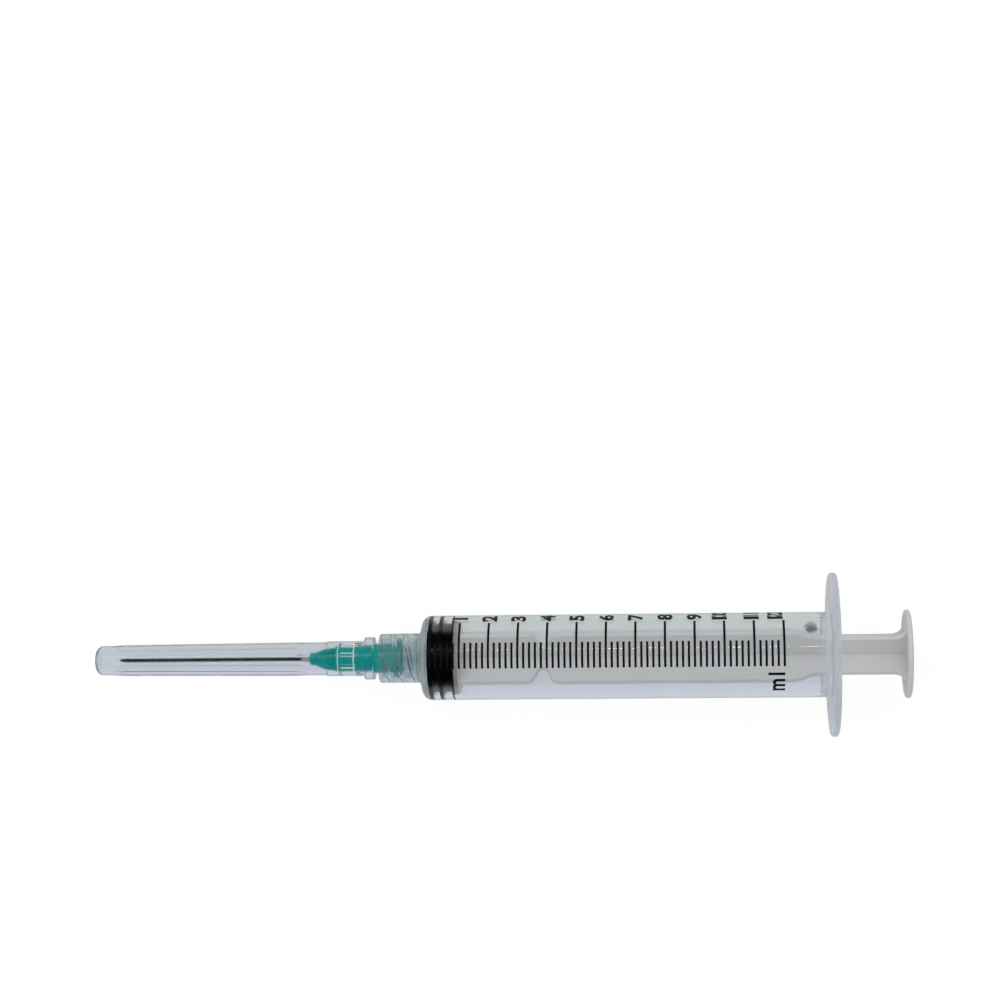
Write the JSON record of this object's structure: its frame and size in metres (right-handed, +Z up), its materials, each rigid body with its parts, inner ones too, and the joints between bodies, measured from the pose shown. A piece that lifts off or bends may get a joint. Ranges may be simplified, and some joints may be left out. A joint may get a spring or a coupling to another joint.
{
  "type": "luer lock syringe with capped needle",
  "caption": "Plastic luer lock syringe lying on its flange: clear barrel, ribbed plunger with black stopper, and a green-hubbed needle in its cap.",
  "frame": {"origin": "centre of the bounding box in plan, on the surface that the syringe lies on", "axes": "+X towards the thumb press, along the syringe but level with the surface; +Y to the left seen from the needle end; +Z up. The syringe's own axis rises towards +X by 4.75 degrees."},
  "size_m": [0.1618, 0.032, 0.03],
  "materials": {
    "clear_moulding": "clear moulded polypropylene, glossy",
    "milky_moulding": "milky moulded polypropylene, satin gloss",
    "black_rubber": "moulded rubber with a film of silicone oil",
    "green_moulding": "translucent green moulded plastic",
    "needle_steel": "drawn and polished stainless steel",
    "clear_glue": "cured clear adhesive",
    "cap_moulding": "milky translucent moulded plastic"
  },
  "bodies": {
    "barrel": {"barrel": "clear_moulding"},
    "plunger": {"plunger_rod": "milky_moulding", "plunger_stopper": "black_rubber"},
    "needle": {"needle_cannula": "needle_steel", "adhesive_bead": "clear_glue"},
    "hub": {"needle_hub": "green_moulding"},
    "cap": {"needle_cap": "cap_moulding"}
  },
  "joints": [
    {"name": "plunger_slide", "type": "slide", "parent": "barrel", "child": "plunger", "axis": [0.9966, 0, 0.0828], "range_m": [0, 0.07178]},
    {"name": "needle_travel", "type": "slide", "parent": "barrel", "child": "needle", "axis": [-0.9966, 0, -0.0828], "range_m": [0, 0.005]},
    {"name": "hub_turn", "type": "hinge", "parent": "needle", "child": "hub", "pos_m": [-0.02512, 0, 0.00746], "axis": [-0.9966, 0, -0.0828], "range_deg": [0, 360.5]},
    {"name": "cap_pull", "type": "slide", "parent": "hub", "child": "cap", "axis": [-0.9966, 0, -0.0828], "range_m": [0, 0.05375]}
  ],
  "couplings": [
    {"joint": "hub_turn", "follows": "needle_travel", "rad_per_m": 1256.6}
  ]
}
